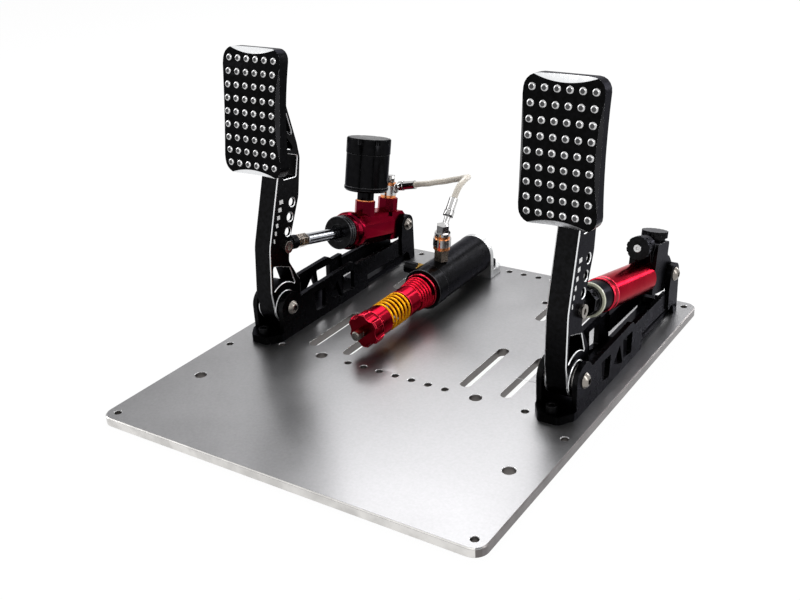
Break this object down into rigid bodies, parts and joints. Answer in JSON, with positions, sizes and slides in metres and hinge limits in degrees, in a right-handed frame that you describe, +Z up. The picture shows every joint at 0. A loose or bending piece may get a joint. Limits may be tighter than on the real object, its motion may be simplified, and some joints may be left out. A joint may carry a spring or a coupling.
{
  "type": "sim racing pedal set",
  "caption": "Two-pedal racing set on a slotted base plate: hydraulic brake with reservoir, spring-loaded slave cylinder and hose, and a throttle with an adjustable damper.",
  "frame": {"origin": "centre of the base plate's underside", "axes": "+X to the driver's right, +Y away from the driver, +Z up"},
  "size_m": [0.38, 0.448, 0.2918],
  "materials": {
    "plate_silver": "satin, fine brushed",
    "black_anodised": "satin black anodised",
    "stud_steel": "polished",
    "bolt_steel": "bright zinc",
    "screw_black": "black oxide",
    "shaft_steel": "ground",
    "chrome": "polished",
    "end_plate_satin": "satin",
    "red_anodised": "gloss red anodised",
    "brass": "machined",
    "copper": "plain copper",
    "reservoir_black": "satin",
    "yellow_paint": "gloss powder coat",
    "red_paint": "gloss powder coat",
    "hose_cover": "smooth matt sleeve",
    "bump_yellow": "translucent bump rubber"
  },
  "bodies": {
    "base": {"base_plate": "plate_silver", "module_screws": "screw_black", "rear_foot_blocks": "black_anodised", "pivot_shafts": "shaft_steel", "pivot_bearings": "shaft_steel", "pivot_bolts": "bolt_steel", "rear_pivot_bolts": "bolt_steel", "brake_left_wall": "black_anodised", "brake_right_wall": "black_anodised", "brake_floor": "black_anodised", "throttle_left_wall": "black_anodised", "throttle_right_wall": "black_anodised", "throttle_floor": "black_anodised", "slave_end_plate": "end_plate_satin", "slave_body": "black_anodised", "slave_collar": "black_anodised", "slave_flange": "red_anodised", "red_spring": "red_paint", "slave_adapter": "shaft_steel", "slave_washers": "copper", "slave_banjo": "chrome", "slave_banjo_bolt": "chrome", "slave_ferrule": "chrome", "pressure_sensor": "brass", "brake_hose": "hose_cover"},
    "brake_pedal": {"brake_arm": "black_anodised", "brake_face": "black_anodised", "brake_studs": "stud_steel", "brake_pin_bolt": "bolt_steel"},
    "throttle_pedal": {"throttle_arm": "black_anodised", "throttle_face": "black_anodised", "throttle_studs": "stud_steel", "throttle_pin_bolt": "bolt_steel"},
    "master_cylinder": {"master_body": "red_anodised", "master_front_cap": "black_anodised", "reservoir_body": "reservoir_black", "master_washers": "copper", "master_banjo": "chrome", "master_banjo_bolt": "chrome", "master_ferrule": "chrome"},
    "brake_rod": {"brake_rod_end": "screw_black", "brake_lock_nuts": "bolt_steel", "brake_pushrod": "shaft_steel", "master_piston": "brass"},
    "filler_cap": {"reservoir_cap": "reservoir_black"},
    "slave_rod": {"slave_shaft": "shaft_steel", "slave_piston": "brass", "slave_cup": "red_anodised"},
    "preload_knob": {"star_knob": "red_anodised"},
    "spring_spacer": {"slave_spacer": "red_anodised", "yellow_spring": "yellow_paint"},
    "damper": {"damper_tube": "red_anodised", "damper_block": "black_anodised"},
    "throttle_rod": {"throttle_rod_end": "screw_black", "damper_adjuster": "black_anodised", "bump_ring": "bump_yellow", "damper_sleeve": "black_anodised"},
    "rebound_knob": {"damper_knob": "black_anodised", "damper_knob_screw": "bolt_steel"},
    "compression_dial": {"damper_dial": "black_anodised"}
  },
  "joints": [
    {"name": "brake_pivot", "type": "hinge", "parent": "base", "child": "brake_pedal", "pos_m": [-0.1535, -0.0183, 0.037], "axis": [-1, 0, 0], "range_deg": [0, 12], "stiffness_Nm_per_rad": 220, "springref_deg": -3.44},
    {"name": "throttle_pivot", "type": "hinge", "parent": "base", "child": "throttle_pedal", "pos_m": [0.1563, -0.0183, 0.037], "axis": [-1, 0, 0], "range_deg": [0, 18], "stiffness_Nm_per_rad": 18, "springref_deg": -5.73},
    {"name": "master_tilt", "type": "hinge", "parent": "base", "child": "master_cylinder", "pos_m": [-0.1535, 0.1917, 0.0515], "axis": [1, 0, 0], "range_deg": [0, 0.1]},
    {"name": "brake_rod_slide", "type": "slide", "parent": "master_cylinder", "child": "brake_rod", "axis": [0, 0.9761, -0.2173], "range_m": [0, 0.0126]},
    {"name": "filler_cap_turn", "type": "hinge", "parent": "master_cylinder", "child": "filler_cap", "pos_m": [-0.1535, 0.15269, 0.15239], "axis": [0, 0.2173, 0.9761], "continuous": true},
    {"name": "slave_rod_slide", "type": "slide", "parent": "base", "child": "slave_rod", "axis": [0, 1, 0], "range_m": [0, 0.01], "deforming": ["yellow_spring"]},
    {"name": "preload_knob_turn", "type": "hinge", "parent": "slave_rod", "child": "preload_knob", "pos_m": [-0.047, -0.013, 0.0335], "axis": [0, 1, 0], "continuous": true},
    {"name": "spring_spacer_slide", "type": "slide", "parent": "base", "child": "spring_spacer", "axis": [0, 1, 0], "range_m": [0, 0.003], "deforming": ["red_spring"]},
    {"name": "damper_tilt", "type": "hinge", "parent": "base", "child": "damper", "pos_m": [0.1563, 0.1917, 0.0515], "axis": [1, 0, 0], "range_deg": [0, 0.15]},
    {"name": "throttle_rod_slide", "type": "slide", "parent": "damper", "child": "throttle_rod", "axis": [0, 0.9763, -0.2162], "range_m": [0, 0.0188]},
    {"name": "rebound_knob_turn", "type": "hinge", "parent": "damper", "child": "rebound_knob", "pos_m": [0.1563, 0.13971, 0.09425], "axis": [0, 0.9763, -0.2162], "continuous": true},
    {"name": "compression_dial_turn", "type": "hinge", "parent": "damper", "child": "compression_dial", "pos_m": [0.1563, 0.18082, 0.09488], "axis": [0, 0.2162, 0.9763], "continuous": true}
  ],
  "couplings": [
    {"joint": "master_tilt", "follows": "brake_pivot", "ratio": 0.0082},
    {"joint": "brake_rod_slide", "follows": "brake_pivot", "m_per_rad": 0.05976},
    {"joint": "slave_rod_slide", "follows": "brake_pivot", "m_per_rad": 0.0477},
    {"joint": "spring_spacer_slide", "follows": "brake_pivot", "m_per_rad": 0.0143},
    {"joint": "damper_tilt", "follows": "throttle_pivot", "ratio": 0.008},
    {"joint": "throttle_rod_slide", "follows": "throttle_pivot", "m_per_rad": 0.05962}
  ]
}
